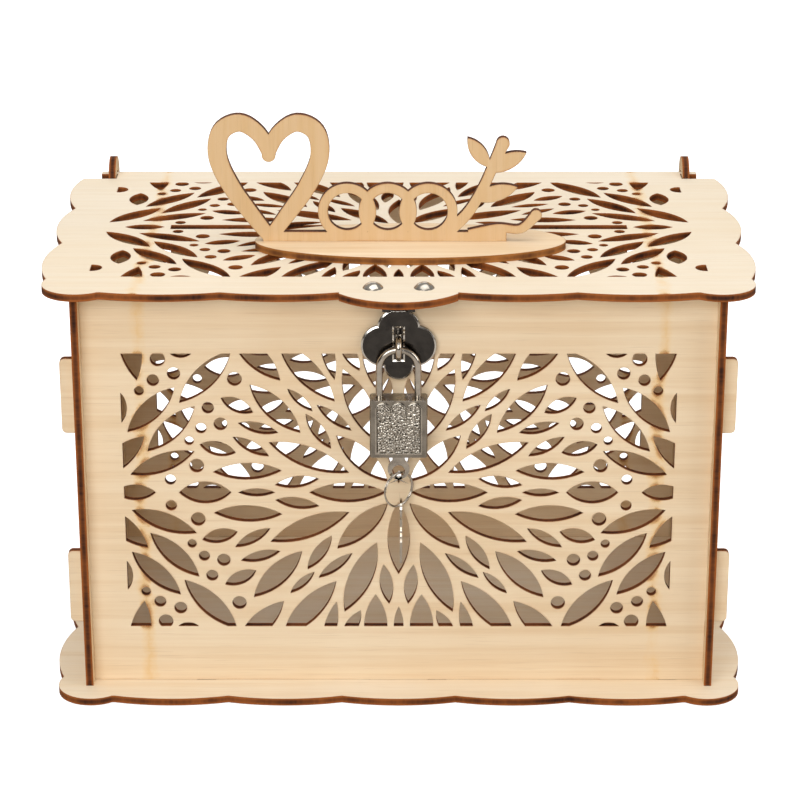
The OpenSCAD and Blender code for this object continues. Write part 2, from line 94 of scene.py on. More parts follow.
camera = aim_camera((0.0015, -1.1415, 0.5344), tilt_deg=20.7, turn_deg=0.05, lens_mm=122.5)
print("camera at", [round(v, 3) for v in camera.location])

# %% [markdown]
# ## Helpers for shader nodes
# Node trees get long when each link is written out, so small helpers do it: they add a node
# with its values, join sockets, do sums and mix colours. Two more open a node group with
# named inputs and outputs and place it. A group is an effect that several finishes share,
# like a jar of the same stain.


# %% Node helpers
def hex_colour(text, alpha=1.0):
    """A colour written as six hex digits, turned into the linear light that shaders use."""
    parts = [int(text[i : i + 2], 16) / 255 for i in (0, 2, 4)]
    linear = [p / 12.92 if p <= 0.04045 else ((p + 0.055) / 1.055) ** 2.4 for p in parts]
    return (*linear, alpha)


def add_node(tree, kind, values=None, **settings):
    node = tree.nodes.new(kind)
    for name, value in settings.items():
        setattr(node, name, value)
    for name, value in (values or {}).items():
        node.inputs[name].default_value = value
    return node


def join(tree, source, target):
    tree.links.new(source, target)
    return target


def math_node(tree, operation, first, second=None, clamp=False):
    node = add_node(tree, "ShaderNodeMath", operation=operation, use_clamp=clamp)
    for socket, value in zip(node.inputs, (first, second)):
        if value is None:
            continue
        if isinstance(value, (int, float)):
            socket.default_value = value
        else:
            tree.links.new(value, socket)
    return node.outputs[0]


def mix_colour(tree, factor, first, second):
    node = add_node(tree, "ShaderNodeMix", data_type="RGBA")
    for socket, value in zip((node.inputs[0], node.inputs[6], node.inputs[7]),
                             (factor, first, second)):
        if isinstance(value, (int, float, tuple)):
            socket.default_value = value
        else:
            tree.links.new(value, socket)
    return node.outputs[2]


def open_group(name, inputs, outputs):
    tree = bpy.data.node_groups.new(name, "ShaderNodeTree")
    for label, kind, value in inputs:
        socket = tree.interface.new_socket(label, in_out="INPUT", socket_type=kind)
        socket.default_value = value
    for label, kind in outputs:
        tree.interface.new_socket(label, in_out="OUTPUT", socket_type=kind)
    return tree, tree.nodes.new("NodeGroupInput").outputs, tree.nodes.new("NodeGroupOutput").inputs


def place_group(tree, group, **values):
    node = add_node(tree, "ShaderNodeGroup", node_tree=group)
    for name, value in values.items():
        node.inputs[name.replace("_", " ")].default_value = value
    return node


FLOAT, COLOUR, VECTOR = "NodeSocketFloat", "NodeSocketColor", "NodeSocketVector"
print("helpers ready")

# %% [markdown]
# ## Studio
# A white sweep and broad soft lights, as for a catalogue picture. The light from above is
# the strongest, so the lid is paler than the front. The floor glows a little by itself,
# which keeps it white without burning out the wood. The sky is white behind and above but
# dim in front, where the room is: polished metal needs something dark to mirror, or it
# looks like grey plaster. For the same reason floor and sky are plain white only for the
# eye: anything that mirrors them sees grey card and the dim room. A weak lamp at the back
# keeps the rear of the box from going dull.


# %% Floor, sky and soft lights
def soft_light(name, place, target, size, watts):
    data = bpy.data.lights.new(name, "AREA")
    data.shape = "RECTANGLE"
    data.size, data.size_y = size
    data.energy = watts
    lamp = bpy.data.objects.new(name, data)
    lamp.location = place
    lamp.rotation_euler = (Vector(target) - Vector(place)).to_track_quat("-Z", "Y").to_euler()
    bpy.context.scene.collection.objects.link(lamp)
    return lamp


def lay_floor(half, below=0.0004, glow=0.6):
    mesh = bpy.data.meshes.new("floor")
    mesh.from_pydata([(-half, -half, 0), (half, -half, 0), (half, half, 0), (-half, half, 0)],
                     [], [(0, 1, 2, 3)])
    floor = bpy.data.objects.new("floor", mesh)
    floor.location.z = -below
    bpy.context.scene.collection.objects.link(floor)
    paper = bpy.data.materials.new("white_paper")
    paper.use_nodes = True
    tree = paper.node_tree
    shader = tree.nodes["Principled BSDF"]
    shader.inputs["Roughness"].default_value = 0.9
    shader.inputs["Emission Color"].default_value = (1, 1, 1, 1)
    seen = add_node(tree, "ShaderNodeLightPath").outputs["Is Camera Ray"]
    tone = mix_colour(tree, seen, (0.5, 0.46, 0.42, 1), (0.9, 0.9, 0.9, 1))
    join(tree, tone, shader.inputs["Base Color"])
    join(tree, math_node(tree, "MULTIPLY", seen, glow), shader.inputs["Emission Strength"])
    mesh.materials.append(paper)
    return floor


floor = lay_floor(8.0)


def make_sky(strength=0.45):
    world = bpy.data.worlds.new("studio_sky")
    world.use_nodes = True
    tree = world.node_tree
    dim_room = tree.nodes["Background"]
    way = add_node(tree, "ShaderNodeTexCoord").outputs["Generated"]
    split = add_node(tree, "ShaderNodeSeparateXYZ")
    join(tree, way, split.inputs[0])
    behind = add_node(tree, "ShaderNodeMapRange", {"From Min": -0.25, "From Max": 0.35})
    join(tree, split.outputs[1], behind.inputs["Value"])
    above = add_node(tree, "ShaderNodeMapRange", {"From Min": 0.35, "From Max": 0.75})
    join(tree, split.outputs[2], above.inputs["Value"])
    most = math_node(tree, "MAXIMUM", behind.outputs[0], above.outputs[0])
    tone = mix_colour(tree, most, (0.10, 0.085, 0.07, 1), (1, 1, 1, 1))
    join(tree, tone, dim_room.inputs["Color"])
    dim_room.inputs["Strength"].default_value = strength
    backdrop = add_node(tree, "ShaderNodeBackground", {"Color": (1, 1, 1, 1)})
    seen = add_node(tree, "ShaderNodeLightPath").outputs["Is Camera Ray"]
    either = add_node(tree, "ShaderNodeMixShader")
    join(tree, seen, either.inputs[0])
    join(tree, dim_room.outputs[0], either.inputs[1])
    join(tree, backdrop.outputs[0], either.inputs[2])
    join(tree, either.outputs[0], tree.nodes["World Output"].inputs["Surface"])
    return world


bpy.context.scene.world = make_sky()
bpy.context.scene.view_settings.view_transform = "Standard"
lamps = [
    soft_light("top_light", (0.1, -0.15, 1.5), (0, 0, 0.15), (1.6, 1.2), 11.5),
    soft_light("front_light", (-0.5, -1.6, 0.9), (0, 0, 0.1), (1.4, 1.0), 20),
    soft_light("side_light", (1.4, -0.7, 0.7), (0, 0, 0.1), (0.8, 0.8), 7),
    soft_light("rear_light", (-0.3, 1.7, 0.9), (0, 0, 0.15), (1.2, 0.8), 4),
]
print("lights:", [lamp.name for lamp in lamps])

# %% [markdown]
# ## Where the laser has cut
# A plywood sheet has two kinds of surface: its faces, which are clean veneer, and its cut
# edges, which the laser burns brown. Painting a map by hand would take an age. The surface's
# own direction already tells them apart: a face looks along the sheet's thickness, a cut
# edge looks sideways. The group compares the two and gives 1 on a cut edge.


# %% Group: cut edge mask
def make_cut_mask():
    tree, given, out = open_group("cut_edge_mask", [("Sheet Normal", VECTOR, (0, 0, 1))],
                                  [("Cut", FLOAT)])
    here = add_node(tree, "ShaderNodeTexCoord").outputs["Normal"]
    dot = add_node(tree, "ShaderNodeVectorMath", operation="DOT_PRODUCT")
    join(tree, here, dot.inputs[0])
    join(tree, given["Sheet Normal"], dot.inputs[1])
    facing = math_node(tree, "ABSOLUTE", dot.outputs["Value"])
    ramp = add_node(tree, "ShaderNodeMapRange", {"From Min": 0.85, "From Max": 0.55})
    join(tree, facing, ramp.inputs["Value"])
    join(tree, ramp.outputs["Result"], out["Cut"])
    return tree


cut_mask = make_cut_mask()
print("group", cut_mask.name)

# %% [markdown]
# ## Near an edge
# Smoke stains and wear gather within a millimetre or two of an edge. The Bevel node knows
# where edges are: it bends the surface direction close to them. How far the bent direction
# is from the true one says how near the edge is, and the bent direction itself gives a
# softly rounded corner that catches the light.


# %% Group: near edge
def make_near_edge():
    tree, given, out = open_group("near_edge", [("Reach", FLOAT, 0.001), ("Gain", FLOAT, 4.0)],
                                  [("Near", FLOAT), ("Soft Normal", VECTOR)])
    bevel = add_node(tree, "ShaderNodeBevel", samples=6)
    join(tree, given["Reach"], bevel.inputs["Radius"])
    true = add_node(tree, "ShaderNodeNewGeometry").outputs["Normal"]
    dot = add_node(tree, "ShaderNodeVectorMath", operation="DOT_PRODUCT")
    join(tree, bevel.outputs["Normal"], dot.inputs[0])
    join(tree, true, dot.inputs[1])
    away = math_node(tree, "SUBTRACT", 1.0, dot.outputs["Value"])
    join(tree, math_node(tree, "MULTIPLY", away, given["Gain"], clamp=True), out["Near"])
    join(tree, bevel.outputs["Normal"], out["Soft Normal"])
    return tree


near_edge = make_near_edge()
print("group", near_edge.name)

# %% [markdown]
# ## Birch veneer
# Birch is pale, with faint lines along the grain, slow clouds of warmer and cooler wood and
# fine short pores. One stretched noise gives the lines, a broad one the clouds, a very fine
# one the pores. Stretching the coordinates, small along the grain and large across it, is
# what turns round noise into fibres.


# %% Group: veneer
def make_veneer():
    tree, given, out = open_group(
        "birch_veneer",
        [("Pale", COLOUR, (0.9, 0.78, 0.6, 1)), ("Warm", COLOUR, (0.8, 0.62, 0.4, 1)),
         ("Stretch", VECTOR, (5, 260, 260)), ("Figure", FLOAT, 0.5)],
        [("Color", COLOUR), ("Height", FLOAT), ("Roughness", FLOAT)])
    place = add_node(tree, "ShaderNodeTexCoord").outputs["Object"]
    stretch = add_node(tree, "ShaderNodeVectorMath", operation="MULTIPLY")
    join(tree, place, stretch.inputs[0])
    join(tree, given["Stretch"], stretch.inputs[1])
    lines = add_node(tree, "ShaderNodeTexNoise", {"Scale": 1.0, "Detail": 6.0, "Roughness": 0.62,
                                                  "Distortion": 0.4})
    join(tree, stretch.outputs[0], lines.inputs["Vector"])
    pores = add_node(tree, "ShaderNodeTexNoise", {"Scale": 9.0, "Detail": 2.0})
    join(tree, stretch.outputs[0], pores.inputs["Vector"])
    clouds = add_node(tree, "ShaderNodeTexNoise", {"Scale": 14.0, "Detail": 3.0})
    join(tree, place, clouds.inputs["Vector"])
    line_map = add_node(tree, "ShaderNodeMapRange", {"From Min": 0.38, "From Max": 0.68})
    join(tree, lines.outputs[0], line_map.inputs["Value"])
    cloud_map = add_node(tree, "ShaderNodeMapRange", {"From Min": 0.35, "From Max": 0.7})
    join(tree, clouds.outputs[0], cloud_map.inputs["Value"])
    blend = math_node(tree, "MULTIPLY", line_map.outputs[0], given["Figure"])
    cloud_part = math_node(tree, "MULTIPLY", cloud_map.outputs[0], 0.35)
    amount = math_node(tree, "ADD", blend, cloud_part, clamp=True)
    tone = mix_colour(tree, amount, given["Pale"], given["Warm"])
    pore_map = add_node(tree, "ShaderNodeMapRange", {"From Min": 0.60, "From Max": 0.72,
                                                     "To Max": 0.22})
    join(tree, pores.outputs[0], pore_map.inputs["Value"])
    dark = mix_colour(tree, 0.55, given["Warm"], (0.25, 0.12, 0.05, 1))
    join(tree, mix_colour(tree, pore_map.outputs[0], tone, dark), out["Color"])
    rough = add_node(tree, "ShaderNodeMapRange", {"To Min": 0.5, "To Max": 0.68})
    join(tree, lines.outputs[0], rough.inputs["Value"])
    join(tree, rough.outputs[0], out["Roughness"])
    height = math_node(tree, "SUBTRACT", lines.outputs[0], pore_map.outputs[0])
    join(tree, height, out["Height"])
    return tree


veneer = make_veneer()
print("group", veneer.name)

# %% [markdown]
# ## Burnt edge
# The laser leaves the cut nearly black in deep corners and red-brown where it passed fast,
# with fine strokes straight through the sheet. The middle layer chars darkest and the two
# face veneers stay paler, so an edge shows a dark band between two thin toasted lines. The
# strokes are noise squeezed along the edge; the band is a sine of the distance through the
# sheet, which is why the group is told where the sheet starts.


# %% Group: burnt edge
def make_burnt_edge():
    tree, given, out = open_group(
        "burnt_edge",
        [("Char", COLOUR, (0.02, 0.006, 0.003, 1)), ("Toast", COLOUR, (0.25, 0.09, 0.03, 1)),
         ("Through", VECTOR, (0, 0, 1)), ("Start", FLOAT, 0.0), ("Patchy", FLOAT, 0.45)],
        [("Color", COLOUR), ("Height", FLOAT)])
    place = add_node(tree, "ShaderNodeTexCoord").outputs["Object"]
    strokes = add_node(tree, "ShaderNodeTexNoise", {"Scale": 900.0, "Detail": 3.0})
    depth = add_node(tree, "ShaderNodeVectorMath", operation="DOT_PRODUCT")
    join(tree, place, depth.inputs[0])
    join(tree, given["Through"], depth.inputs[1])
    flat = add_node(tree, "ShaderNodeVectorMath", operation="SCALE")
    join(tree, given["Through"], flat.inputs[0])
    join(tree, math_node(tree, "MULTIPLY", depth.outputs["Value"], -0.9), flat.inputs["Scale"])
    squeezed = add_node(tree, "ShaderNodeVectorMath", operation="ADD")
    join(tree, place, squeezed.inputs[0])
    join(tree, flat.outputs[0], squeezed.inputs[1])
    join(tree, squeezed.outputs[0], strokes.inputs["Vector"])
    patches = add_node(tree, "ShaderNodeTexNoise", {"Scale": 70.0, "Detail": 3.0})
    join(tree, place, patches.inputs["Vector"])
    patch_map = add_node(tree, "ShaderNodeMapRange", {"From Min": 0.36, "From Max": 0.66})
    join(tree, patches.outputs[0], patch_map.inputs["Value"])
    stroke_map = add_node(tree, "ShaderNodeMapRange", {"From Min": 0.3, "From Max": 0.7})
    join(tree, strokes.outputs[0], stroke_map.inputs["Value"])
    across = math_node(tree, "SUBTRACT", math_node(tree, "ABSOLUTE", depth.outputs["Value"]),
                       given["Start"])
    middle = math_node(tree, "SINE", math_node(tree, "MULTIPLY", across, math.pi / SHEET_THICKNESS))
    skin = math_node(tree, "SUBTRACT", 1.0, math_node(tree, "ABSOLUTE", middle))
    skin = math_node(tree, "MULTIPLY", math_node(tree, "POWER", skin, 1.3), 1.1)
    amount = math_node(tree, "ADD", math_node(tree, "MULTIPLY", stroke_map.outputs[0], 0.18),
                       math_node(tree, "MULTIPLY", patch_map.outputs[0], given["Patchy"]))
    amount = math_node(tree, "ADD", amount, skin, clamp=True)
    join(tree, mix_colour(tree, amount, given["Char"], given["Toast"]), out["Color"])
    join(tree, stroke_map.outputs[0], out["Height"])
    return tree


burnt_edge = make_burnt_edge()
print("group", burnt_edge.name)

# %% [markdown]
# ## Glue seams in the veneer
# The face veneer is laid in strips. Where two strips meet, the laser's heat has drawn glue
# out as an amber, broken line from top to bottom, strongest beside a cut. The group
# measures the distance from that line, breaks it up with noise and adds the heat of a
# nearby cut.


# %% Group: seam stain
def make_seam():
    tree, given, out = open_group("seam_stain", [("Where", FLOAT, 0.0), ("Reach", FLOAT, 0.0034)],
                                  [("Stain", FLOAT)])
    place = add_node(tree, "ShaderNodeTexCoord").outputs["Object"]
    parts = add_node(tree, "ShaderNodeSeparateXYZ")
    join(tree, place, parts.inputs[0])
    wobble = add_node(tree, "ShaderNodeTexNoise", {"Scale": 60.0, "Detail": 4.0, "Roughness": 0.7})
    join(tree, place, wobble.inputs["Vector"])
    shift = math_node(tree, "MULTIPLY", math_node(tree, "SUBTRACT", wobble.outputs[0], 0.5), 0.012)
    offset = math_node(tree, "SUBTRACT", parts.outputs[0], given["Where"])
    gap = math_node(tree, "ABSOLUTE", math_node(tree, "ADD", offset, shift))
    far = math_node(tree, "DIVIDE", gap, given["Reach"])
    fall = math_node(tree, "SUBTRACT", 1.0, far, clamp=True)
    breaks = add_node(tree, "ShaderNodeTexNoise", {"Scale": 110.0, "Detail": 3.0})
    join(tree, place, breaks.inputs["Vector"])
    gate = add_node(tree, "ShaderNodeMapRange", {"From Min": 0.3, "From Max": 0.55})
    join(tree, breaks.outputs[0], gate.inputs["Value"])
    edge = place_group(tree, near_edge, Reach=0.004, Gain=3.0)
    heat = math_node(tree, "ADD", math_node(tree, "MULTIPLY", edge.outputs["Near"], 2.2), 0.3)
    spread = math_node(tree, "MULTIPLY", fall, gate.outputs[0])
    join(tree, math_node(tree, "MULTIPLY", spread, heat, clamp=True), out["Stain"])
    return tree


seam_stain = make_seam()
print("group", seam_stain.name)

# %% [markdown]
# ## Plywood, one finish for every sheet
# All sheets are the same wood, but each lies another way, so the finish is a function: it
# takes the direction of the thickness, the direction of the grain and the tone, and puts the
# shared groups together. The order is the order of making: veneer, seams, smoke round the
# cuts, a thin scorched line at the very corner, and then the burnt edge where the sheet is
# cut through.


# %% Function: plywood finish
def plywood(name, thickness_axis, grain, pale, warm, start=0.0, seams=(), figure=0.5, smoke=0.5,
            char="220A04", toast="9E5824", line=0.45, patchy=0.3):
    material = bpy.data.materials.new(name)
    material.use_nodes = True
    tree = material.node_tree
    shader = tree.nodes["Principled BSDF"]
    cut = place_group(tree, cut_mask, Sheet_Normal=thickness_axis)
    wood = place_group(tree, veneer, Pale=hex_colour(pale), Warm=hex_colour(warm), Stretch=grain,
                       Figure=figure)
    edge = place_group(tree, near_edge, Reach=0.0016, Gain=3.0)
    corner = place_group(tree, near_edge, Reach=0.0004, Gain=4.0)
    burn = place_group(tree, burnt_edge, Char=hex_colour(char), Toast=hex_colour(toast),
                       Through=thickness_axis, Start=start, Patchy=patchy)
    face = wood.outputs["Color"]
    for where in seams:
        seam = place_group(tree, seam_stain, Where=where)
        core = math_node(tree, "POWER", seam.outputs["Stain"], 2.0)
        stain = mix_colour(tree, core, hex_colour("E8B860"), hex_colour("9A5416"))
        strength = math_node(tree, "MULTIPLY", seam.outputs["Stain"], 1.4, clamp=True)
        face = mix_colour(tree, strength, face, stain)
    patch = add_node(tree, "ShaderNodeTexNoise", {"Scale": 85.0, "Detail": 3.0})
    join(tree, add_node(tree, "ShaderNodeTexCoord").outputs["Object"], patch.inputs["Vector"])
    gate = add_node(tree, "ShaderNodeMapRange", {"From Min": 0.38, "From Max": 0.66,
                                                 "To Max": smoke})
    join(tree, patch.outputs[0], gate.inputs["Value"])
    haze = math_node(tree, "MULTIPLY", edge.outputs["Near"], gate.outputs[0])
    face = mix_colour(tree, haze, face, hex_colour("B9752F"))
    scorch = math_node(tree, "MULTIPLY", corner.outputs["Near"], line)
    face = mix_colour(tree, scorch, face, hex_colour("5A2A10"))
    colour = mix_colour(tree, cut.outputs["Cut"], face, burn.outputs["Color"])
    join(tree, colour, shader.inputs["Base Color"])
    rough = add_node(tree, "ShaderNodeMix", data_type="FLOAT")
    join(tree, cut.outputs["Cut"], rough.inputs[0])
    join(tree, wood.outputs["Roughness"], rough.inputs[2])
    rough.inputs[3].default_value = 0.82
    join(tree, rough.outputs[0], shader.inputs["Roughness"])
    relief = add_node(tree, "ShaderNodeMix", data_type="FLOAT")
    join(tree, cut.outputs["Cut"], relief.inputs[0])
    join(tree, wood.outputs["Height"], relief.inputs[2])
    join(tree, burn.outputs["Height"], relief.inputs[3])
    bump = add_node(tree, "ShaderNodeBump", {"Strength": 0.35, "Distance": 0.00012})
    join(tree, relief.outputs[0], bump.inputs["Height"])
    join(tree, corner.outputs["Soft Normal"], bump.inputs["Normal"])
    join(tree, bump.outputs["Normal"], shader.inputs["Normal"])
    shader.inputs["Specular IOR Level"].default_value = 0.28
    return material


def dress(names, material):
    for name in names:
        slots = nodes[name].data.materials
        slots.clear()
        slots.append(material)


along_x, along_y = (5.0, 260.0, 260.0), (260.0, 5.0, 260.0)
print("plywood function ready")

# %% [markdown]
# ## The sheets get their wood
# Front, back, sides, base plate and lid are pale birch. The ornament and its foot come from
# a warmer, more toasted sheet. The seams cross the front and the lid near both ends.

# %% Dress the plywood pieces
front_wood = plywood("birch_upright", (0, 1, 0), along_x, "F0DCBD", "DFC097", 0.0758,
                     seams=(-0.108, 0.109), figure=0.55, smoke=0.55)
side_wood = plywood("birch_side", (1, 0, 0), along_y, "E6D0AE", "D2AF80", 0.1318, figure=0.5,
                    smoke=0.5)
lid_wood = plywood("birch_lid", (0, 0, 1), along_x, "EADCC6", "E2CCAA", 0.1802,
                   seams=(0.109, -0.108), figure=0.35, smoke=0.45, patchy=0.6)
base_wood = plywood("birch_base", (0, 0, 1), along_x, "EEDFC8", "E0C59C", 0.0, figure=0.4,
                    smoke=0.4, patchy=0.6)
foot_wood = plywood("birch_foot", (0, 0, 1), along_x, "EDD6B6", "DCB98A", 0.1834, figure=0.6,
                    smoke=0.7, toast="A0662F", char="4A2410", line=0.7, patchy=0.8)
sign_wood = plywood("birch_ornament", (0, 1, 0), (260.0, 260.0, 7.0), "DABB92", "D3AE7D", 0.026,
                    figure=0.6, smoke=1.0, toast="7A4420", char="2A1006", line=1.0)
dress(["front_panel", "back_panel"], front_wood)
dress(["left_side_panel", "right_side_panel"], side_wood)
dress(["lid_panel"], lid_wood)
dress(["base_plate"], base_wood)
dress(["sign_base"], foot_wood)
dress(["sign_flourish"], sign_wood)
print("wood finishes:", [m.name for m in bpy.data.materials if m.name.startswith("birch")])

# %% [markdown]
# ## Plated metal
# Small hardware is never evenly bright: handling leaves a haze, fine scratches run every way
# and the edges are rubbed. The group gives an uneven roughness, a tone that darkens the
# plating a little in patches, and a faint height for the scratches.


# %% Group: plating wear
def make_plating_wear():
    tree, given, out = open_group(
        "plating_wear",
        [("Bright", COLOUR, (0.7, 0.7, 0.72, 1)), ("Dull", COLOUR, (0.4, 0.4, 0.42, 1)),
         ("Polish", FLOAT, 0.2), ("Grain", FLOAT, 300.0)],
        [("Color", COLOUR), ("Roughness", FLOAT), ("Height", FLOAT)])
    place = add_node(tree, "ShaderNodeTexCoord").outputs["Object"]
    haze = add_node(tree, "ShaderNodeTexNoise", {"Scale": 160.0, "Detail": 4.0, "Roughness": 0.6})
    join(tree, place, haze.inputs["Vector"])
    fine = add_node(tree, "ShaderNodeTexNoise", {"Detail": 5.0, "Roughness": 0.75})
    join(tree, place, fine.inputs["Vector"])
    join(tree, given["Grain"], fine.inputs["Scale"])
    haze_map = add_node(tree, "ShaderNodeMapRange", {"From Min": 0.4, "From Max": 0.7})
    join(tree, haze.outputs[0], haze_map.inputs["Value"])
    edge = place_group(tree, near_edge, Reach=0.0005, Gain=5.0)
    dull = math_node(tree, "SUBTRACT", haze_map.outputs[0], edge.outputs["Near"], clamp=True)
    join(tree, mix_colour(tree, math_node(tree, "MULTIPLY", dull, 0.6), given["Bright"],
                          given["Dull"]), out["Color"])
    extra = math_node(tree, "MULTIPLY", haze_map.outputs[0], 0.16)
    join(tree, math_node(tree, "ADD", given["Polish"], extra), out["Roughness"])
    join(tree, fine.outputs[0], out["Height"])
    return tree


plating_wear = make_plating_wear()
print("group", plating_wear.name)


# %% Function: metal finish
def metal(name, bright, dull, polish=0.2, grain=900.0, relief=0.12):
    material = bpy.data.materials.new(name)
    material.use_nodes = True
    tree = material.node_tree
    shader = tree.nodes["Principled BSDF"]
    shader.inputs["Metallic"].default_value = 1.0
    wear = place_group(tree, plating_wear, Bright=hex_colour(bright), Dull=hex_colour(dull),
                       Polish=polish, Grain=grain)
    corner = place_group(tree, near_edge, Reach=0.00018, Gain=3.0)
    join(tree, wear.outputs["Color"], shader.inputs["Base Color"])
    join(tree, wear.outputs["Roughness"], shader.inputs["Roughness"])
    bump = add_node(tree, "ShaderNodeBump", {"Strength": relief, "Distance": 0.00005})
    join(tree, wear.outputs["Height"], bump.inputs["Height"])
    join(tree, corner.outputs["Soft Normal"], bump.inputs["Normal"])
    join(tree, bump.outputs["Normal"], shader.inputs["Normal"])
    return material


nickel = metal("nickel_plate", "C6BEB2", "7C746A", 0.12)
# brighter copy of the nickel: a painted highlight for the hasp leaf's rim
rim_highlight_paint = metal("hasp_rim_painted_highlight", "E4E0D8", "B8B2A8", 0.1)
smoked = metal("smoked_nickel", "4A4744", "2E2C2B", 0.16)
satin = metal("satin_zinc", "9E978C", "635D55", 0.2)
brass = metal("turned_brass", "D2AE62", "9C7A3C", 0.24)
dress(["staple_loop", "staple_rivets", "hasp_pin", "lid_nuts", "lid_bolts",
       "padlock_shackle", "padlock_bottom_cover"], nickel)
dress(["hasp_bracket", "hasp_leaf", "staple_plate"], smoked)
dress(["padlock_case", "padlock_front_face", "padlock_back_face"], satin)
dress(["padlock_plug", "padlock_latch"], brass)
dress(["padlock_key", "spare_key", "key_ring"], nickel)
print("metal finishes:", [m.name for m in (nickel, rim_highlight_paint, smoked, satin, brass)])

# %% [markdown]
# ## Hasp leaf with a bright rim
# The cloud-shaped leaf is a stamped plate: its dark mirror face has a narrow bevel all
# round. A copy of the CAD leaf is insetted: the flat front is shrunk inwards and the
# strip left round it is sloped back and given a brighter metal, a painted highlight for the
# lit edge of the plate. Real geometry is used for the slope, because a painted line would
# not flash when the light moves.


# %% Helpers for detailed copies
def detailed_copy(node, name):
    piece = bpy.data.objects.new(name, nodes[node].data.copy())
    piece.data.name = name
    bpy.context.scene.collection.objects.link(piece)
    return piece


def welded(piece):
    shape = bmesh.new()
    shape.from_mesh(piece.data)
    bmesh.ops.remove_doubles(shape, verts=shape.verts, dist=0.000002)
    return shape


def write_back(shape, piece, smooth_deg=35):
    shape.normal_update()
    shape.to_mesh(piece.data)
    shape.free()
    if "custom_normal" in piece.data.attributes:
        piece.data.attributes.remove(piece.data.attributes["custom_normal"])
    for face in piece.data.polygons:
        face.use_smooth = True
    piece.data.set_sharp_from_angle(angle=math.radians(smooth_deg))
    piece.data.update()


# %% Build the leaf
def bevelled_leaf():
    leaf = detailed_copy("hasp_leaf", "hasp_leaf_stamped")
    leaf.data.materials.append(rim_highlight_paint)
    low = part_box("hasp_leaf")[0]
    shape = welded(leaf)
    front_y = min(v.co.y for v in shape.verts if v.co.z < low[2] + 0.02)
    faces = [f for f in shape.faces
             if f.normal.y < -0.99 and abs(f.calc_center_median().y - front_y) < 0.0001]
    ring = bmesh.ops.inset_region(shape, faces=faces, thickness=0.0007, depth=0.0,
                                  use_even_offset=True)
    # the sloped rim faces get the brighter metal: a painted highlight on real bevel geometry
    for face in ring["faces"]:
        face.material_index = 1
    rim_verts = {v for f in ring["faces"] for v in f.verts}
    kept = {v for f in faces for v in f.verts}
    for v in rim_verts - kept:
        v.co.y += 0.00035
    write_back(shape, leaf, 20)
    return leaf, len(faces)


hasp_leaf, front_faces = bevelled_leaf()
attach(hasp_leaf, "box")
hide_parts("hasp_leaf")
print("hasp leaf:", front_faces, "front faces,", len(hasp_leaf.data.polygons), "in all")

# %% [markdown]
# ## Padlock face
# The little padlock has a cast face: a fine random relief like hammered leaf, inside a plain
# rim that follows the scalloped top. A displacement texture would only fake it. Here the
# plate is a grid whose columns end on the scallops, and each point is pushed in or out by
# seeded noise, so the relief is in the mesh. Each point also keeps its height as a value,
# and the finish darkens the colour in the deepest pits with it.


# %% Finish for the cast relief
def cast_relief():
    material = metal("cast_relief", "BBB4A8", "8C857A", 0.16)
    tree = material.node_tree
    shader = tree.nodes["Principled BSDF"]
    plain = shader.inputs["Base Color"].links[0].from_socket
    level = add_node(tree, "ShaderNodeAttribute", attribute_name="relief").outputs["Fac"]
    hollow = add_node(tree, "ShaderNodeMapRange", {"From Min": 0.45, "From Max": 0.1})
    join(tree, level, hollow.inputs["Value"])
    # the colour is darkened in the deepest pits, by the relief height
    pit_darkening = mix_colour(tree, hollow.outputs[0], plain, hex_colour("2E2A26"))
    join(tree, pit_darkening, shader.inputs["Base Color"])
    return material


relief_metal = cast_relief()
print("finish:", relief_metal.name)


# %% Build a relief plate
def relief_level(x, z, rim, side):
    """Height of the cast face from 0, the deepest pit, to 1, the rim."""
    if rim < 0.0007:
        return 1.0 if rim > 0.0002 else 0.8
    if rim < 0.0010:
        return 0.15
    seed = Vector((x * 1500, 7.0 + side, z * 1500))
    lumps = noise.noise(seed) + 0.5 * noise.noise(seed * 2.2 + Vector((3, 1, 5)))
    return min(max(0.5 + 0.75 * lumps, 0.0), 0.95)


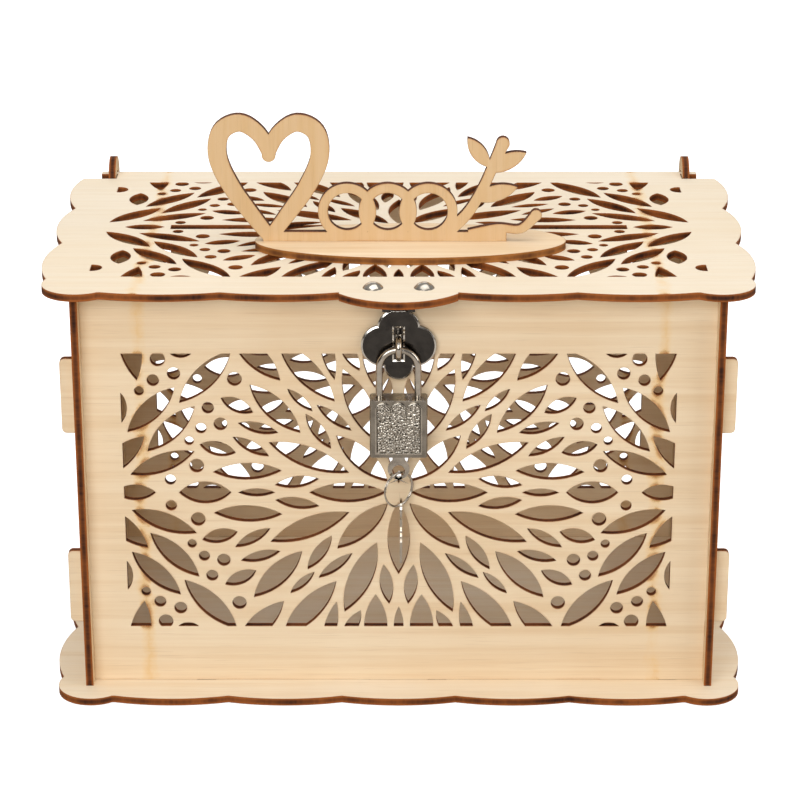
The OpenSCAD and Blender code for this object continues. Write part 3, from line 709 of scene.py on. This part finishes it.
def relief_plate(name, node, outward):
    low, high = (Vector(v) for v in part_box(node))
    width, columns, rows = high.x - low.x, 120, 130
    lobe = width / 6
    shoulder = high.z - lobe * 0.99
    depth = high.y - low.y
    base_y = high.y if outward < 0 else low.y

    def top_at(x):
        count = min(max((x - low.x) / (2 * lobe), 0), 2.999)
        centre = low.x + (math.floor(count) + 0.5) * 2 * lobe
        return shoulder + math.sqrt(max(lobe * lobe - (x - centre) ** 2, 0.0))

    verts, faces, levels = [], [], []
    for row in range(rows + 1):
        for column in range(columns + 1):
            x = low.x + width * column / columns
            z = low.z + (top_at(x) - low.z) * row / rows
            rim = min(x - low.x, high.x - x, z - low.z, max(top_at(x) - z, 0))
            level = relief_level(x, z, rim, outward)
            levels.append(level)
            verts.append((x, base_y + outward * depth * (0.25 + 0.73 * level), z))
    line = columns + 1
    for row in range(rows):
        for column in range(columns):
            a = row * line + column
            faces.append((a, a + 1, a + line + 1, a + line))
    edge = list(range(line)) + [r * line + columns for r in range(1, rows + 1)]
    edge += [rows * line + c for c in range(columns - 1, -1, -1)]
    edge += [r * line for r in range(rows - 1, 0, -1)]
    start, count = len(verts), len(edge)
    for index in edge:
        verts.append((verts[index][0], base_y, verts[index][2]))
        levels.append(0.5)
    for k in range(count):
        n = (k + 1) % count
        faces.append((edge[n], edge[k], start + k, start + n))
    faces.append(tuple(range(start, start + count)))
    if outward > 0:
        faces = [tuple(reversed(f)) for f in faces]
    mesh = bpy.data.meshes.new(name)
    mesh.from_pydata(verts, [], faces)
    mesh.attributes.new("relief", "FLOAT", "POINT").data.foreach_set("value", levels)
    mesh.materials.append(relief_metal)
    for face in mesh.polygons:
        face.use_smooth = True
    mesh.set_sharp_from_angle(angle=math.radians(60))
    plate = bpy.data.objects.new(name, mesh)
    bpy.context.scene.collection.objects.link(plate)
    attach(plate, "lock_case")
    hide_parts(node)
    return plate


face_front = relief_plate("padlock_relief_front", "padlock_front_face", -1)
face_back = relief_plate("padlock_relief_back", "padlock_back_face", 1)
print("relief plates:", len(face_front.data.polygons), "faces each")

# %% [markdown]
# ## Padlock case with rounded edges
# The case is a zinc casting with three ribs down each side and slightly rounded corners. A
# bevel of a few tenths of a millimetre is all that tells a casting from a cut block, so a
# copy of the CAD case gets its long outer edges rounded.


# %% Round the case
def rounded_copy(node, name, body, width, angle_deg=40, segments=3):
    piece = detailed_copy(node, name)
    shape = welded(piece)
    write_back(shape, piece, 35)
    mod = piece.modifiers.new("rounding", "BEVEL")
    mod.width = width
    mod.segments = segments
    mod.limit_method = "ANGLE"
    mod.angle_limit = math.radians(angle_deg)
    mod.use_clamp_overlap = True
    mod.harden_normals = True
    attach(piece, body)
    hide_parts(node)
    return piece


case = rounded_copy("padlock_case", "padlock_case_cast", "lock_case", 0.0003)
bolts = rounded_copy("lid_bolts", "lid_bolts_domed", "lid", 0.00015)
print("rounded:", case.name, bolts.name)

# %% [markdown]
# ## Keys
# A stamped key has a raised rim round its bow and a groove milled along its blade. Both are
# made by insetting the flat faces of a CAD copy and sinking the middle a little.


# %% Build the keys
def stamped_key(node, name, body, flat_axis):
    key = detailed_copy(node, name)
    shape = welded(key)
    for side in (-1, 1):
        flat = [f for f in shape.faces if f.normal[flat_axis] * side > 0.99]
        bmesh.ops.inset_region(shape, faces=flat, thickness=0.00055, depth=-0.00014,
                               use_even_offset=True)
    write_back(shape, key, 30)
    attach(key, body)
    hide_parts(node)
    return key


lock_key = stamped_key("padlock_key", "padlock_key_stamped", "key", 1)
second_key = stamped_key("spare_key", "spare_key_stamped", "second_key", 0)
print("keys:", lock_key.name, second_key.name)

# %% [markdown]
# ## Split ring
# A key ring is not a plain hoop but two turns of flat wire lying side by side, and the step
# where an end tucks under is what makes it look right. The wire's section is carried round
# two turns while it moves sideways by its own width.


# %% Wind the split ring
def split_ring():
    low, high = (Vector(v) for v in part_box("key_ring"))
    centre = (low + high) / 2
    wire, turns, steps, sides = 0.0006, 1.93, 150, 12
    radius = (high.z - low.z) / 2 - wire
    spread = Vector((high.x - low.x - 2 * wire, high.y - low.y - 2 * wire, 0)).normalized()
    across = Vector((spread.y, -spread.x, 0))
    verts, faces = [], []
    for step in range(steps + 1):
        t = step / steps
        angle = math.radians(200) + t * turns * 2 * math.pi
        turn = min(max((t * turns - 0.9) / 0.12, 0), 1)
        side = (-0.5 + turn) * 0.9 * wire
        out = spread * math.cos(angle) + Vector((0, 0, math.sin(angle)))
        taper = min(1.0, 6 * t + 0.4, 6 * (1 - t) + 0.4)
        for k in range(sides):
            a = 2 * math.pi * k / sides
            bulge = 0.00046 * taper
            verts.append(centre + out * (radius + bulge * math.cos(a))
                         + across * (side + 0.00025 * math.sin(a)))
    for step in range(steps):
        for k in range(sides):
            a, b = step * sides + k, step * sides + (k + 1) % sides
            faces.append((a, b, b + sides, a + sides))
    faces.append(tuple(reversed(range(sides))))
    faces.append(tuple(range(steps * sides, (steps + 1) * sides)))
    mesh = bpy.data.meshes.new("split_ring_wire")
    mesh.from_pydata([tuple(v) for v in verts], [], faces)
    shape = bmesh.new()
    shape.from_mesh(mesh)
    bmesh.ops.recalc_face_normals(shape, faces=shape.faces)
    shape.to_mesh(mesh)
    shape.free()
    mesh.materials.append(nickel)
    for face in mesh.polygons:
        face.use_smooth = True
    ring = bpy.data.objects.new("split_ring", mesh)
    bpy.context.scene.collection.objects.link(ring)
    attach(ring, "ring")
    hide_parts("key_ring")
    return ring


ring = split_ring()
print("split ring:", len(ring.data.vertices), "points")
